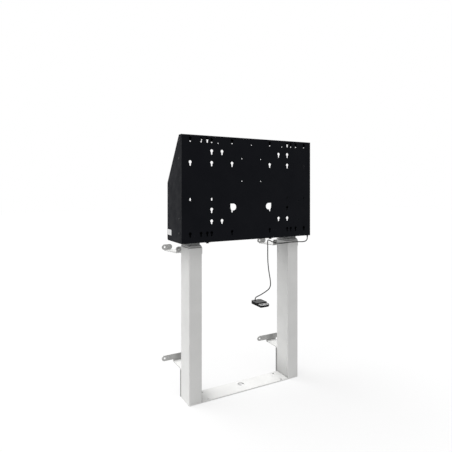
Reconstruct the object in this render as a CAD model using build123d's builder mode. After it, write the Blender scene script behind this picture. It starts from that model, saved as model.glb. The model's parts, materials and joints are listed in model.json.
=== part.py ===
from build123d import *
import os
from math import atan2, cos, degrees, pi, radians, sin, tan

# Twin-column display lift: two telescopic columns on a floor plate, stood off a wall,
# carry a sheet-metal mounting head for a flat display. Millimetres, at its lowest height.
# +X runs right and +Y towards the wall. The origin is on the floor, half way along the
# columns' spacing and half way between the display's face and the wall.

# Driving dimensions
overall_depth = 223.0  # display face to wall
column_spacing = 520.0  # centre to centre
column_width = 60.0
column_depth = 92.5
column_height = 671.0  # outer tubes
column_setback = 34.6  # display face to the columns' fronts
travel_overlap = 171.0  # outer tubes' height less the stroke
head_side = 49.0  # column's outer side to the head's side
head_height = 455.0
head_depth = 165.0
head_clearance = 26.0  # from the outer tubes' tops to the head

# General clearances
running_gap = 0.3  # between sliding pieces
seat_gap = 0.05  # between a fitted pair, each side
shaft_gap = 0.05  # radial, shaft to bearing
hole_gap = 0.2  # radial, screw to hole
cut_extra = 1.0  # overrun of a cut past its face

stroke = column_height - travel_overlap
head_width = column_spacing + column_width + 2 * head_side
front_y = -overall_depth / 2
wall_y = overall_depth / 2
column_front_y = front_y + column_setback
column_back_y = column_front_y + column_depth
column_y = (column_front_y + column_back_y) / 2
head_bottom = column_height + head_clearance
head_top = head_bottom + head_height
head_mid_z = head_bottom + head_height / 2
sides = {"left": -1, "right": 1}


def column_x(sign):
    return sign * column_spacing / 2


def save(piece, name):
    piece.part.label = name
    export_step(piece.part, f"parts/{name}.step")


def facing_front(x, y, z):
    # a sketch plane seen from the front, its local y up
    return Plane(origin=(x, y, z), x_dir=(1, 0, 0), z_dir=(0, -1, 0))


os.makedirs("parts", exist_ok=True)

# Floor plate: one plate between the columns, with a narrower tongue into each tube
base_thickness = 5.0
column_wall = 2.0
column_corner = 3.0
anchor_diameter = 10.0
anchor_inset = 35.0  # plate's end to the holes' centres
anchor_spacing_y = 66.0
anchor_edge = 9.5  # front edge to the front pair
cable_hole_diameter = 30.0
cable_hole_edge = 32.5  # rear edge to the hole's centre

bore_width = column_width - 2 * column_wall
bore_depth = column_depth - 2 * column_wall
bore_corner = column_corner - column_wall
tongue_depth = bore_depth - 2 * running_gap
plate_length = column_spacing - column_width
anchor_spacing_x = plate_length - 2 * anchor_inset
tongue_length = column_spacing + bore_width - 2 * running_gap
cable_hole_y = column_back_y - cable_hole_edge
anchor_y = column_front_y + anchor_edge + anchor_spacing_y / 2

# Bolts from below hold each tongue up against its foot plate
foot_bolt_diameter = 8.0
foot_bolt_head = 13.0
foot_bolt_head_height = 3.0
foot_bolt_recess = 0.3
foot_bolt_spacing = 60.0
foot_thickness = 10.0
foot_top = base_thickness + foot_thickness
foot_head_top = foot_bolt_recess + foot_bolt_head_height
foot_bolt_points = [
    (column_x(sign), column_y + end * foot_bolt_spacing / 2) for sign in sides.values() for end in (-1, 1)
]

with BuildPart() as base_plate:
    with BuildSketch(Plane((0, column_y, 0))):
        Rectangle(plate_length, column_depth)
        Rectangle(tongue_length, tongue_depth)
    extrude(amount=base_thickness)
    with BuildSketch(Plane((0, anchor_y, 0))):
        with GridLocations(anchor_spacing_x, anchor_spacing_y, 2, 2):
            Circle(anchor_diameter / 2)
    extrude(amount=base_thickness, mode=Mode.SUBTRACT)
    with BuildSketch(Plane((0, cable_hole_y, 0))):
        Circle(cable_hole_diameter / 2)
    extrude(amount=base_thickness, mode=Mode.SUBTRACT)
    with BuildSketch(Plane.XY):
        with Locations(*foot_bolt_points):
            Circle(foot_bolt_diameter / 2 + hole_gap)
    extrude(amount=base_thickness, mode=Mode.SUBTRACT)
    with BuildSketch(Plane.XY):
        with Locations(*foot_bolt_points):
            Circle(foot_bolt_head / 2 + hole_gap)
    extrude(amount=foot_head_top, mode=Mode.SUBTRACT)
save(base_plate, "base_plate")

with BuildPart() as foot_bolts:
    with BuildSketch(Plane.XY.offset(foot_bolt_recess)):
        with Locations(*foot_bolt_points):
            Circle(foot_bolt_head / 2)
    extrude(amount=foot_bolt_head_height)
    with BuildSketch(Plane.XY.offset(foot_head_top)):
        with Locations(*foot_bolt_points):
            Circle(foot_bolt_diameter / 2)
    extrude(amount=foot_top - foot_head_top)
save(foot_bolts, "foot_bolts")

# Telescope: the inner tube slides in the outer one on plastic glides
inner_wall = 2.0
inner_corner = 3.0
glide_gap = 4.5  # outer tube's bore to the inner tube
inner_start = 6.0  # above the foot plate at the lowest height
inner_width = bore_width - 2 * glide_gap
inner_depth = bore_depth - 2 * glide_gap
inner_bottom = foot_top + inner_start

# Lifting screw: it hangs from the head and turns in a nut on a tube that stands on the foot
push_tube_diameter = 30.0
push_tube_wall = 3.0
nut_drop = 31.0  # outer tube's top down to the push tube's top
nut_length = 32.0
nut_flange_diameter = 36.0
nut_flange_height = 8.0
spindle_diameter = 14.0
spindle_reserve = 10.0  # of screw still below the nut at full height
journal_length = 30.0  # screw's plain end, inside the gearbox
push_tube_top = column_height - nut_drop
push_tube_bore = push_tube_diameter - 2 * push_tube_wall
spindle_bottom = push_tube_top - nut_length - stroke - spindle_reserve

# Head plate, bearing and beam on top of each inner tube
sheet = 2.5
beam_sheet = 3.0
head_plate_thickness = 6.0
bearing_diameter = 32.0
head_bolt_diameter = 6.0
head_bolt_head = 10.0
head_bolt_head_height = 4.0
head_bolt_spacing_x = 30.0
head_bolt_spacing_y = 58.0
beam_bottom = head_bottom + sheet
beam_floor = beam_bottom + beam_sheet
head_plate_bottom = beam_bottom - head_plate_thickness
inner_top = head_plate_bottom

# Top glide: a cap on the outer tube's rim, sloping in to the inner tube
glide_rim_height = 6.0
glide_slope_height = 7.0
glide_lip = 1.2  # cap's thickness at its top edge
glide_plug_length = 30.0

# Bottom glides on the inner tube's four faces
pad_height = 40.0
pad_lift = 6.0  # above the inner tube's lower end
pad_width_share = 0.6  # of the face that carries it
pad_thickness = glide_gap - running_gap

# Strap round each outer tube's top, with an ear on each side
strap_thickness = 2.5
strap_height = 26.0
strap_round = 8.0  # side plates' lower rear corners
ear_reach = 53.0  # column's centre to the ear's end
ear_height = 22.0
ear_slot_width = 6.6
ear_slot_length = 13.0
strap_inside = column_width + 2 * seat_gap
strap_outside = strap_inside + 2 * strap_thickness
strap_corner = column_corner + seat_gap
strap_bottom = column_height - strap_height
ear_front_y = column_back_y - strap_thickness
ear_slot_x = ear_reach - ear_height / 2
ear_mid_z = strap_bottom + strap_height / 2

# Wall brackets: folded plates from the columns back to the wall
bracket_sheet = 4.0
wall_ear_reach = 86.0  # column's centre to the wall ear's end
wall_ear_height = 25.0
wall_hole_diameter = 9.0
wall_hole_x = 72.0
lower_shelf_top = 127.0
lower_flange_height = 31.5  # above the shelf's top
upper_ear_start = 36.0  # column's centre to the wall ear's inner end
upright_depth = 9.0
bracket_screw_diameter = 6.0
bracket_screw_head = 11.0
bracket_screw_head_height = 3.2
bracket_screw_edge = 32.0  # upright's ends to the screws
upper_shelf_bottom = strap_bottom - bracket_sheet - running_gap
lower_hole_z = lower_shelf_top + lower_flange_height - wall_ear_height / 2
upper_ear_bottom = upper_shelf_bottom + bracket_sheet
upper_hole_z = upper_ear_bottom + wall_ear_height / 2
bracket_screw_heights = (bracket_screw_edge, lower_shelf_top - bracket_screw_edge)
flange_front_y = wall_y - bracket_sheet
shelf_depth = wall_y - column_back_y
strap_nut_height = 5.0

for side, sign in sides.items():
    x = column_x(sign)

    with BuildPart() as outer_column:
        with BuildSketch(Plane((x, column_y, 0))):
            RectangleRounded(column_width, column_depth, column_corner)
            RectangleRounded(bore_width, bore_depth, bore_corner, mode=Mode.SUBTRACT)
        extrude(amount=column_height)
        with BuildSketch(Plane((x - sign * column_width / 2, column_y, 0))):
            Rectangle(4 * column_wall, tongue_depth + 2 * seat_gap)
        extrude(amount=base_thickness + running_gap, mode=Mode.SUBTRACT)
        with BuildSketch(facing_front(x, column_back_y, 0)):
            with Locations(*[(0, height) for height in bracket_screw_heights]):
                Circle(bracket_screw_diameter / 2 + hole_gap)
        extrude(amount=column_wall + cut_extra, both=True, mode=Mode.SUBTRACT)
    save(outer_column, f"{side}_outer_column")

    with BuildPart() as foot_plate:
        with BuildSketch(Plane((x, column_y, base_thickness))):
            RectangleRounded(bore_width - 2 * running_gap, tongue_depth, bore_corner)
        extrude(amount=foot_thickness)
        with BuildSketch(Plane((x, column_y, base_thickness))):
            with GridLocations(0, foot_bolt_spacing, 1, 2):
                Circle(foot_bolt_diameter / 2 + hole_gap)
        extrude(amount=foot_thickness, mode=Mode.SUBTRACT)
    save(foot_plate, f"{side}_foot_plate")

    with BuildPart() as push_tube:
        with BuildSketch(Plane((x, column_y, foot_top))):
            Circle(push_tube_diameter / 2)
            Circle(push_tube_bore / 2, mode=Mode.SUBTRACT)
        extrude(amount=push_tube_top - foot_top)
    save(push_tube, f"{side}_push_tube")

    with BuildPart() as spindle_nut:
        with BuildSketch(Plane((x, column_y, push_tube_top))):
            Circle(nut_flange_diameter / 2)
        extrude(amount=nut_flange_height)
        with BuildSketch(Plane((x, column_y, push_tube_top))):
            Circle(push_tube_bore / 2 - seat_gap)
        extrude(amount=-nut_length)
        with BuildSketch(Plane((x, column_y, push_tube_top - nut_length))):
            Circle(spindle_diameter / 2 + shaft_gap)
        extrude(amount=nut_length + nut_flange_height, mode=Mode.SUBTRACT)
    save(spindle_nut, f"{side}_spindle_nut")

    with BuildPart() as spindle:
        with BuildSketch(Plane((x, column_y, spindle_bottom))):
            Circle(spindle_diameter / 2)
        extrude(amount=beam_floor + journal_length - spindle_bottom)
        chamfer(spindle.edges().group_by(Axis.Z)[0], spindle_diameter / 8)
    save(spindle, f"{side}_spindle")

    with BuildPart() as inner_column:
        with BuildSketch(Plane((x, column_y, inner_bottom))):
            RectangleRounded(inner_width, inner_depth, inner_corner)
            RectangleRounded(
                inner_width - 2 * inner_wall,
                inner_depth - 2 * inner_wall,
                inner_corner - inner_wall,
                mode=Mode.SUBTRACT,
            )
        extrude(amount=inner_top - inner_bottom)
    save(inner_column, f"{side}_inner_column")

    with BuildPart() as top_glide:
        with BuildSketch(Plane((x, column_y, column_height))):
            RectangleRounded(column_width, column_depth, column_corner)
        extrude(amount=glide_rim_height)
        with BuildSketch(Plane((x, column_y, column_height + glide_rim_height))):
            RectangleRounded(column_width, column_depth, column_corner)
        with BuildSketch(Plane((x, column_y, column_height + glide_rim_height + glide_slope_height))):
            RectangleRounded(inner_width + 2 * glide_lip, inner_depth + 2 * glide_lip, column_corner)
        loft()
        with BuildSketch(Plane((x, column_y, column_height))):
            RectangleRounded(bore_width - 2 * seat_gap, bore_depth - 2 * seat_gap, bore_corner)
        extrude(amount=-glide_plug_length)
        with BuildSketch(Plane((x, column_y, column_height - glide_plug_length))):
            RectangleRounded(inner_width + 2 * running_gap, inner_depth + 2 * running_gap, inner_corner)
        extrude(amount=glide_plug_length + glide_rim_height + glide_slope_height, mode=Mode.SUBTRACT)
    save(top_glide, f"{side}_top_glide")

    with BuildPart() as glide_pads:
        with BuildSketch(Plane((x, column_y, inner_bottom + pad_lift))):
            with GridLocations(inner_width + pad_thickness, 0, 2, 1):
                Rectangle(pad_thickness, pad_width_share * inner_depth)
            with GridLocations(0, inner_depth + pad_thickness, 1, 2):
                Rectangle(pad_width_share * inner_width, pad_thickness)
        extrude(amount=pad_height)
        pad_ends = glide_pads.edges().group_by(Axis.Z)
        chamfer([*pad_ends[0].filter_by(GeomType.LINE)], pad_thickness / 4)
    save(glide_pads, f"{side}_glide_pads")

    with BuildPart() as head_plate:
        with BuildSketch(Plane((x, column_y, head_plate_bottom))):
            RectangleRounded(column_width, column_depth, column_corner)
            Circle(bearing_diameter / 2, mode=Mode.SUBTRACT)
            with GridLocations(head_bolt_spacing_x, head_bolt_spacing_y, 2, 2):
                Circle(head_bolt_diameter / 2 + hole_gap, mode=Mode.SUBTRACT)
        extrude(amount=head_plate_thickness)
    save(head_plate, f"{side}_head_plate")

    with BuildPart() as spindle_bearing:
        with BuildSketch(Plane((x, column_y, head_plate_bottom))):
            Circle(bearing_diameter / 2 - seat_gap)
            Circle(spindle_diameter / 2 + shaft_gap, mode=Mode.SUBTRACT)
        extrude(amount=head_plate_thickness)
    save(spindle_bearing, f"{side}_spindle_bearing")

    with BuildPart() as column_strap:
        with BuildSketch(Plane((x, column_y, strap_bottom))):
            RectangleRounded(strap_outside, column_depth + 2 * strap_thickness, strap_corner + strap_thickness)
            RectangleRounded(strap_inside, column_depth + 2 * seat_gap, strap_corner, mode=Mode.SUBTRACT)
            with Locations((0, column_depth / 2 + strap_thickness)):
                Rectangle(strap_outside, 2 * strap_thickness, mode=Mode.SUBTRACT)
        extrude(amount=strap_height)
        plate_ends = column_strap.edges().filter_by(Axis.X).group_by(Axis.Y)[-1]
        fillet(plate_ends.group_by(Axis.Z)[0], strap_round)
        with BuildSketch(facing_front(x, column_back_y, ear_mid_z)):
            SlotOverall(2 * ear_reach, ear_height)
            Rectangle(strap_inside, 2 * strap_height, mode=Mode.SUBTRACT)
            with GridLocations(2 * ear_slot_x, 0, 2, 1):
                SlotOverall(ear_slot_length, ear_slot_width, mode=Mode.SUBTRACT)
        extrude(amount=strap_thickness)
    save(column_strap, f"{side}_column_strap")

    with BuildPart() as upper_bracket:
        with BuildSketch(Plane((x, column_back_y, upper_shelf_bottom))):
            with BuildLine():
                Polyline(
                    (-ear_reach, 0),
                    (ear_reach, 0),
                    (wall_ear_reach - wall_ear_height / 2, shelf_depth),
                    (wall_ear_height / 2 - wall_ear_reach, shelf_depth),
                    close=True,
                )
            make_face()
        extrude(amount=bracket_sheet)
        with BuildSketch(facing_front(x, wall_y, upper_hole_z)):
            with GridLocations(wall_ear_reach + upper_ear_start, 0, 2, 1):
                SlotOverall(wall_ear_reach - upper_ear_start, wall_ear_height)
            with GridLocations(2 * wall_hole_x, 0, 2, 1):
                Circle(wall_hole_diameter / 2, mode=Mode.SUBTRACT)
        extrude(amount=bracket_sheet)
        with BuildSketch(facing_front(x, column_back_y, ear_mid_z)):
            SlotOverall(2 * ear_reach, ear_height)
            with Locations((0, -strap_height / 2)):
                Rectangle(2 * ear_reach, 2 * (bracket_sheet + running_gap))
            Rectangle(strap_outside, 2 * strap_height, mode=Mode.SUBTRACT)
            with GridLocations(2 * ear_slot_x, 0, 2, 1):
                Circle(bracket_screw_diameter / 2 + hole_gap, mode=Mode.SUBTRACT)
        extrude(amount=-bracket_sheet)
    save(upper_bracket, f"{side}_upper_bracket")

    with BuildPart() as lower_bracket:
        with BuildSketch(Plane((x, column_back_y, 0))):
            with Locations((0, upright_depth / 2)):
                Rectangle(column_width, upright_depth)
            with Locations((0, bracket_sheet + upright_depth / 2)):
                Rectangle(column_width - 2 * bracket_sheet, upright_depth, mode=Mode.SUBTRACT)
        extrude(amount=lower_shelf_top)
        with BuildSketch(Plane((x, column_back_y + shelf_depth / 2, lower_shelf_top - bracket_sheet))):
            Rectangle(column_width, shelf_depth)
        extrude(amount=bracket_sheet)
        with BuildSketch(facing_front(x, wall_y, lower_hole_z)):
            SlotOverall(2 * wall_ear_reach, wall_ear_height)
            with Locations((0, -wall_ear_height / 2)):
                Rectangle(column_width, 2 * (lower_flange_height - wall_ear_height))
            with GridLocations(2 * wall_hole_x, 0, 2, 1):
                Circle(wall_hole_diameter / 2, mode=Mode.SUBTRACT)
        extrude(amount=bracket_sheet)
        with BuildSketch(facing_front(x, column_back_y, 0)):
            with Locations(*[(0, height) for height in bracket_screw_heights]):
                Circle(bracket_screw_diameter / 2 + hole_gap)
        extrude(amount=-bracket_sheet, mode=Mode.SUBTRACT)
    save(lower_bracket, f"{side}_lower_bracket")

# Screws that hold the brackets to the columns, with nuts behind the straps' ears
column_screw_points = [
    (column_x(sign), column_back_y + bracket_sheet, height)
    for sign in sides.values()
    for height in bracket_screw_heights
]
strap_screw_points = [
    (column_x(sign) + end * ear_slot_x, ear_front_y, ear_mid_z) for sign in sides.values() for end in (-1, 1)
]
with BuildPart() as bracket_screws:
    for px, py, pz in column_screw_points:
        with BuildSketch(facing_front(px, py, pz)):
            Circle(bracket_screw_head / 2)
        extrude(amount=-bracket_screw_head_height)
        with BuildSketch(facing_front(px, py, pz)):
            Circle(bracket_screw_diameter / 2)
        extrude(amount=bracket_sheet + column_wall)
    for px, py, pz in strap_screw_points:
        with BuildSketch(facing_front(px, py, pz)):
            Circle(bracket_screw_head / 2)
        extrude(amount=bracket_screw_head_height)
        with BuildSketch(facing_front(px, py, pz)):
            Circle(bracket_screw_diameter / 2)
        extrude(amount=-(strap_thickness + bracket_sheet + strap_nut_height))
        with BuildSketch(facing_front(px, column_back_y + bracket_sheet, pz)):
            RegularPolygon(bracket_screw_head / 2, 6)
        extrude(amount=-strap_nut_height)
save(bracket_screws, "bracket_screws")

# Carrier beam: an open channel across both columns, which the gearboxes and motors lie in
cheek_sheet = 2.0
beam_height = 62.5
beam_front_setback = 30.0  # display face to the beam
spindle_hole_diameter = 22.0
tie_slot_length = 24.0
tie_slot_width = 6.0
tie_slot_spacing = 110.0
beam_front_y = front_y + beam_front_setback
beam_back_y = column_back_y
beam_depth = beam_back_y - beam_front_y
beam_y = (beam_front_y + beam_back_y) / 2
beam_top = beam_bottom + beam_height
pan_width = head_width - 2 * cheek_sheet
bend_radius = 3.0

with BuildPart() as carrier_beam:
    with BuildSketch(Plane((0, beam_y, beam_bottom))):
        Rectangle(pan_width, beam_depth)
    extrude(amount=beam_height)
    fillet(carrier_beam.edges().filter_by(Axis.X).group_by(Axis.Z)[0], bend_radius)
    with BuildSketch(Plane((0, beam_y, beam_floor))):
        Rectangle(pan_width, beam_depth - 2 * beam_sheet)
    extrude(amount=beam_height, mode=Mode.SUBTRACT)
    for sign in sides.values():
        with BuildSketch(Plane((column_x(sign), column_y, beam_bottom))):
            Circle(spindle_hole_diameter / 2)
            with GridLocations(head_bolt_spacing_x, head_bolt_spacing_y, 2, 2):
                Circle(head_bolt_diameter / 2 + hole_gap)
        extrude(amount=beam_sheet, mode=Mode.SUBTRACT)
    with BuildSketch(facing_front(0, beam_back_y, (beam_floor + beam_top) / 2)):
        with GridLocations(tie_slot_spacing, 0, 3, 1):
            SlotOverall(tie_slot_length, tie_slot_width)
    extrude(amount=beam_sheet, mode=Mode.SUBTRACT)
save(carrier_beam, "carrier_beam")

# Front pan: the display plate, folded back all round, with a lip down from its top flange
pan_depth = beam_front_setback
lip_height = 20.0
lip_notch_spacing = 430.0
lip_notch_width = 44.0
lip_notch_height = 9.0
pitch = 100.0  # display hole patterns step by this
keyhole_head_diameter = 13.5
keyhole_slot_width = 6.8
keyhole_drop = 13.0  # head's centre down to the slot's end
keyhole_shares = {  # row height: columns, both of the pitch from the plate's centre
    2.0: (1.0, 2.0, 2.21, 2.5, 3.0),
    1.5: (1.5, 2.0),
    1.0: (1.0, 2.0, 3.0),
    -1.0: (1.0, 2.0),
    -1.5: (1.5, 2.0),
    -2.0: (1.0, 2.0, 2.21, 2.5, 3.0),
}
pass_through_diameter = 30.0
pass_through_inset = 6.5  # its centre, inwards from its keyhole
pass_through_lift = 7.5  # and above that keyhole's head
slot_shares = ((2.0, -0.44), (3.0, -0.44))
slot_height = 12.0
slot_width = 7.0
pin_hole_diameter = 5.0
pin_hole_shares = ((1.69, 1.97), (-1.69, 1.97), (0.0, 1.97), (2.67, -0.58), (2.67, -1.47))
small_pattern = 100.0
small_pattern_lift = 84.75  # plate's centre to the pattern's centre
head_drop_share = 0.5  # slot's middle below the keyhole's head, of the drop

cheek_screw_diameter = 4.0
cheek_screw_head = 8.0
cheek_screw_head_height = 1.8
cheek_screw_length = 7.0
cheek_screw_setback = 24.0
cheek_screw_shares = (0.092, 0.224, 0.782, 0.947)  # of the head's height
grommet_inset = 11.0  # head's side to the grommet's centre
grommet_setback = 8.0
grommet_neck_diameter = 7.0
cheek_screw_y = front_y + cheek_screw_setback
cheek_screw_heights = [head_bottom + share * head_height for share in cheek_screw_shares]
grommet_x = head_width / 2 - grommet_inset
grommet_y = front_y + grommet_setback
side_view = Plane.YZ

pass_through_x = pitch - pass_through_inset
pass_through_z = keyhole_drop - pitch + pass_through_lift
keyhole_places = [
    (side_sign * column_share * pitch, row_share * pitch)
    for row_share, column_shares in keyhole_shares.items()
    for column_share in column_shares
    for side_sign in sides.values()
]

with BuildPart() as front_pan:
    with BuildSketch(facing_front(0, front_y + pan_depth, head_mid_z)):
        Rectangle(pan_width, head_height)
    extrude(amount=pan_depth)
    fillet(front_pan.edges().group_by(Axis.Y)[0].filter_by(Axis.X), bend_radius)
    with BuildSketch(facing_front(0, front_y + pan_depth, head_mid_z)):
        Rectangle(pan_width - 2 * sheet, head_height - 2 * sheet)
    extrude(amount=pan_depth - sheet, mode=Mode.SUBTRACT)
    with BuildSketch(facing_front(0, front_y + pan_depth, head_top - sheet - lip_height / 2)):
        Rectangle(pan_width - 2 * sheet, lip_height)
        with Locations((0, (lip_notch_height - lip_height) / 2)):
            with GridLocations(lip_notch_spacing, 0, 2, 1):
                Rectangle(lip_notch_width, lip_notch_height, mode=Mode.SUBTRACT)
    extrude(amount=sheet)
    with BuildSketch(facing_front(0, front_y + sheet, head_mid_z)):
        for px, pz in keyhole_places:
            with Locations((px, pz + keyhole_drop)):
                Circle(keyhole_head_diameter / 2)
            with Locations((px, pz + head_drop_share * keyhole_drop)):
                Rectangle(keyhole_slot_width, keyhole_drop)
            with Locations((px, pz)):
                Circle(keyhole_slot_width / 2)
        for sign in sides.values():
            with Locations((sign * pass_through_x, pass_through_z)):
                Circle(pass_through_diameter / 2)
                with Locations((sign * pass_through_diameter / 4, pass_through_diameter / 4)):
                    Rectangle(pass_through_diameter / 2, pass_through_diameter / 2)
        with Locations(*[(sign * a * pitch, b * pitch) for a, b in slot_shares for sign in sides.values()]):
            SlotOverall(slot_height, slot_width, rotation=90)
        with Locations(*[(a * pitch, b * pitch) for a, b in pin_hole_shares]):
            Circle(pin_hole_diameter / 2)
        with Locations((0, small_pattern_lift)):
            with GridLocations(small_pattern, small_pattern, 2, 2):
                Circle(pin_hole_diameter / 2)
    extrude(amount=sheet, mode=Mode.SUBTRACT)
    with BuildSketch(side_view.offset(-pan_width / 2)):
        with Locations(*[(cheek_screw_y, height) for height in cheek_screw_heights]):
            Circle(cheek_screw_diameter / 2 + hole_gap)
    extrude(amount=pan_width, mode=Mode.SUBTRACT)
    with BuildSketch(Plane((grommet_x, grommet_y, head_bottom))):
        Circle(grommet_neck_diameter / 2 + seat_gap)
    extrude(amount=sheet, mode=Mode.SUBTRACT)
save(front_pan, "front_pan")

# Cheeks: flat side plates, deep at the bottom and cut back to the pan's depth at the top
cheek_rear_height = 256.0
cheek_toe = 6.0
cheek_corner = 4.0

for side, sign in sides.items():
    with BuildPart() as cheek:
        with BuildSketch(side_view.offset(sign * pan_width / 2)):
            with BuildLine():
                Polyline(
                    (front_y, head_bottom),
                    (front_y, head_top),
                    (front_y + pan_depth, head_top),
                    (front_y + head_depth, head_bottom + cheek_rear_height),
                    (front_y + head_depth, head_bottom + cheek_toe),
                    (front_y + head_depth - cheek_toe, head_bottom),
                    close=True,
                )
            make_face()
            with Locations(*[(cheek_screw_y, height) for height in cheek_screw_heights]):
                Circle(cheek_screw_diameter / 2 + hole_gap, mode=Mode.SUBTRACT)
        extrude(amount=sign * cheek_sheet)
        fillet(cheek.edges().filter_by(Axis.X).group_by(Axis.Y)[-1], cheek_corner)
    save(cheek, f"{side}_cheek")

with BuildPart() as cheek_screws:
    for sign in sides.values():
        with BuildSketch(side_view.offset(sign * head_width / 2)):
            with Locations(*[(cheek_screw_y, height) for height in cheek_screw_heights]):
                Circle(cheek_screw_head / 2)
        extrude(amount=sign * cheek_screw_head_height)
        with BuildSketch(side_view.offset(sign * head_width / 2)):
            with Locations(*[(cheek_screw_y, height) for height in cheek_screw_heights]):
                Circle(cheek_screw_diameter / 2)
        extrude(amount=-sign * cheek_screw_length)
    domes = [*cheek_screws.edges().group_by(Axis.X)[0], *cheek_screws.edges().group_by(Axis.X)[-1]]
    fillet(domes, cheek_screw_head_height / 2)
save(cheek_screws, "cheek_screws")

# Drives: a worm gearbox over each column and a motor lying inwards from it
gearbox_width = 52.0
gearbox_depth = 82.0
gearbox_height = 48.0
gearbox_corner = 8.0
gearbox_step = 3.0
gearbox_cap_height = 4.0
motor_diameter = 42.0
motor_length = 96.0
motor_flange = 46.0
motor_flange_thickness = 5.0
motor_corner = 4.0
motor_cap_diameter = 21.0
motor_cap_height = 4.0
head_bolt_grip = 10.0  # thread in the gearbox
axle_z = beam_floor + gearbox_height / 2

for side, sign in sides.items():
    x = column_x(sign)

    with BuildPart() as gearbox:
        with BuildSketch(Plane((x, column_y, beam_floor))):
            RectangleRounded(gearbox_width, gearbox_depth, gearbox_corner)
        extrude(amount=gearbox_height)
        with BuildSketch(Plane((x, column_y, beam_floor + gearbox_height))):
            RectangleRounded(
                gearbox_width - 2 * gearbox_step, gearbox_depth - 2 * gearbox_step, gearbox_corner
            )
        extrude(amount=gearbox_cap_height)
        with BuildSketch(Plane((x, column_y, beam_floor))):
            Circle(spindle_diameter / 2 + shaft_gap)
        extrude(amount=journal_length + running_gap, mode=Mode.SUBTRACT)
        with BuildSketch(Plane((x, column_y, beam_floor))):
            with GridLocations(head_bolt_spacing_x, head_bolt_spacing_y, 2, 2):
                Circle(head_bolt_diameter / 2 + hole_gap)
        extrude(amount=head_bolt_grip + running_gap, mode=Mode.SUBTRACT)
    save(gearbox, f"{side}_gearbox")

    with BuildPart() as motor:
        face_x = x - sign * gearbox_width / 2
        with BuildSketch(Plane(origin=(face_x, column_y, axle_z), x_dir=(0, 1, 0), z_dir=(-sign, 0, 0))):
            RectangleRounded(motor_flange, motor_flange, motor_corner)
        extrude(amount=motor_flange_thickness)
        with BuildSketch(Plane(origin=(face_x, column_y, axle_z), x_dir=(0, 1, 0), z_dir=(-sign, 0, 0))):
            Circle(motor_diameter / 2)
        extrude(amount=motor_length)
        ends = motor.edges().filter_by(GeomType.CIRCLE).sort_by(Axis.X)
        fillet(ends[0] if sign > 0 else ends[-1], motor_corner)
        tail_x = face_x - sign * motor_length
        with BuildSketch(Plane(origin=(tail_x, column_y, axle_z), x_dir=(0, 1, 0), z_dir=(-sign, 0, 0))):
            Circle(motor_cap_diameter / 2)
        extrude(amount=motor_cap_height)
    save(motor, f"{side}_motor")

with BuildPart() as head_bolts:
    for sign in sides.values():
        with BuildSketch(Plane((column_x(sign), column_y, head_plate_bottom))):
            with GridLocations(head_bolt_spacing_x, head_bolt_spacing_y, 2, 2):
                RegularPolygon(head_bolt_head / 2, 6)
        extrude(amount=-head_bolt_head_height)
        with BuildSketch(Plane((column_x(sign), column_y, head_plate_bottom))):
            with GridLocations(head_bolt_spacing_x, head_bolt_spacing_y, 2, 2):
                Circle(head_bolt_diameter / 2)
        extrude(amount=head_plate_thickness + beam_sheet + head_bolt_grip)
save(head_bolts, "head_bolts")

# Control box on the right cheek, with its sockets underneath and a lid towards the wall
control_width = 118.0
control_depth = 50.0
control_height = 100.0
control_setback = 60.0
control_lift = 103.0  # head's bottom to the box
control_corner = 5.0
control_lid_thickness = 3.0
control_lid_inset = 1.0
vent_length = 60.0
vent_width = 3.0
vent_spacing = 8.0
vent_count = 5
socket_width = 14.0
socket_depth = 10.0
socket_recess = 12.0
socket_spacing = 22.0
inlet_width = 28.0
inlet_depth = 20.0
socket_corner = 1.5
control_x = pan_width / 2 - control_width / 2
control_front_y = front_y + control_setback
control_back_y = control_front_y + control_depth
control_bottom = head_bottom + control_lift
control_body_depth = control_depth - control_lid_thickness
control_y = control_front_y + control_body_depth / 2

with BuildPart() as control_box:
    with BuildSketch(Plane((control_x, control_y, control_bottom))):
        Rectangle(control_width, control_body_depth)
    extrude(amount=control_height)
    fillet(control_box.edges().filter_by(Axis.Z).group_by(Axis.Y)[0], control_corner)
    with BuildSketch(Plane((control_x, control_y, control_bottom))):
        with Locations((inlet_width - control_width / 2, 0)):
            RectangleRounded(inlet_width, inlet_depth, socket_corner)
        with Locations((control_width / 2 - 2 * socket_spacing, 0)):
            with GridLocations(socket_spacing, 0, 3, 1):
                RectangleRounded(socket_width, socket_depth, socket_corner)
    extrude(amount=socket_recess, mode=Mode.SUBTRACT)
save(control_box, "control_box")

with BuildPart() as control_lid:
    with BuildSketch(facing_front(control_x, control_back_y, control_bottom + control_height / 2)):
        Rectangle(control_width - 2 * control_lid_inset, control_height - 2 * control_lid_inset)
        with GridLocations(0, vent_spacing, 1, vent_count):
            SlotOverall(vent_length, vent_width, mode=Mode.SUBTRACT)
    extrude(amount=control_lid_thickness)
save(control_lid, "control_lid")

# Grommet in the pan's bottom flange, where the handset's cable comes out
grommet_flange_diameter = 10.0
grommet_flange_height = 1.5
grommet_nose_diameter = 6.0
grommet_nose_length = 6.5
cable_diameter = 4.8
grommet_flange_bottom = head_bottom - grommet_flange_height
grommet_bottom = grommet_flange_bottom - grommet_nose_length

with BuildPart() as cable_grommet:
    with BuildSketch(Plane((grommet_x, grommet_y, grommet_flange_bottom))):
        Circle(grommet_flange_diameter / 2)
    extrude(amount=grommet_flange_height)
    with BuildSketch(Plane((grommet_x, grommet_y, head_bottom))):
        Circle(grommet_neck_diameter / 2)
    extrude(amount=sheet)
    with BuildSketch(Plane((grommet_x, grommet_y, head_bottom + sheet))):
        Circle(grommet_flange_diameter / 2)
    extrude(amount=grommet_flange_height)
    with BuildSketch(Plane((grommet_x, grommet_y, grommet_flange_bottom))):
        Circle(grommet_neck_diameter / 2)
    with BuildSketch(Plane((grommet_x, grommet_y, grommet_bottom))):
        Circle(grommet_nose_diameter / 2)
    loft()
save(cable_grommet, "cable_grommet")

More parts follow.
